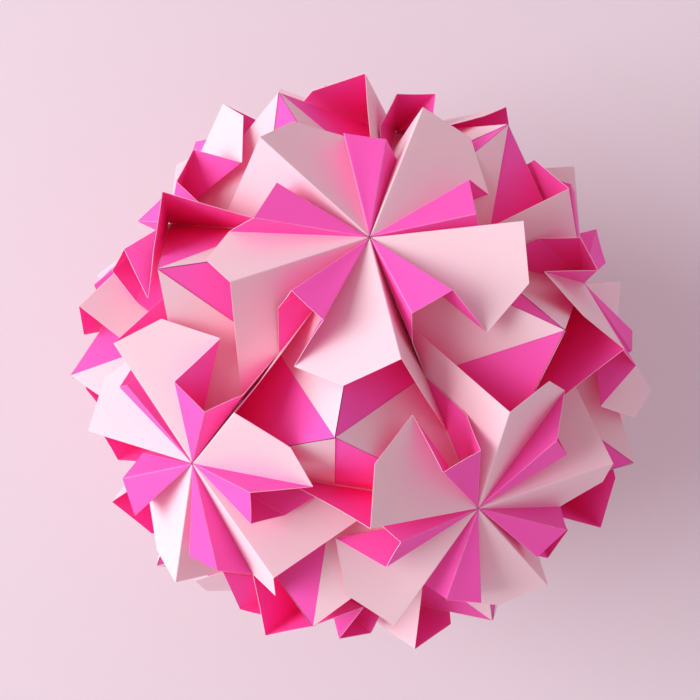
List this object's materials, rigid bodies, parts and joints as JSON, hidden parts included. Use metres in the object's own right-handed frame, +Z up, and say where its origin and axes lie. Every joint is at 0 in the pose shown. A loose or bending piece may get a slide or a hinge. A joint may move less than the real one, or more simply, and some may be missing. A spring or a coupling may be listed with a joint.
{
  "type": "kusudama paper ball",
  "caption": "Round decorative ball of folded two-tone paper modules, with five-petal stars around shared points and a pyramid between each three of them.",
  "frame": {"origin": "on the surface that the ball lies on, under the centre of its bounding box", "axes": "+Z up, towards the camera of the picture, which looks almost straight down on the ball, +X to the right and +Y to the top of the picture"},
  "size_m": [0.1742, 0.168, 0.1732],
  "materials": {
    "two_tone_paper": "matt paper, pale pink on one side and hot pink on the other"
  },
  "bodies": {
    "root": {"petal_module_01": "two_tone_paper", "petal_module_02": "two_tone_paper", "petal_module_03": "two_tone_paper", "petal_module_04": "two_tone_paper", "petal_module_05": "two_tone_paper", "petal_module_06": "two_tone_paper", "petal_module_07": "two_tone_paper", "petal_module_08": "two_tone_paper", "petal_module_09": "two_tone_paper", "petal_module_10": "two_tone_paper", "petal_module_11": "two_tone_paper", "petal_module_12": "two_tone_paper", "petal_module_13": "two_tone_paper", "petal_module_14": "two_tone_paper", "petal_module_15": "two_tone_paper", "petal_module_16": "two_tone_paper", "petal_module_17": "two_tone_paper", "petal_module_18": "two_tone_paper", "petal_module_19": "two_tone_paper", "petal_module_20": "two_tone_paper", "petal_module_21": "two_tone_paper", "petal_module_22": "two_tone_paper", "petal_module_23": "two_tone_paper", "petal_module_24": "two_tone_paper", "petal_module_25": "two_tone_paper", "petal_module_26": "two_tone_paper", "petal_module_27": "two_tone_paper", "petal_module_28": "two_tone_paper", "petal_module_29": "two_tone_paper", "petal_module_30": "two_tone_paper"}
  },
  "joints": []
}
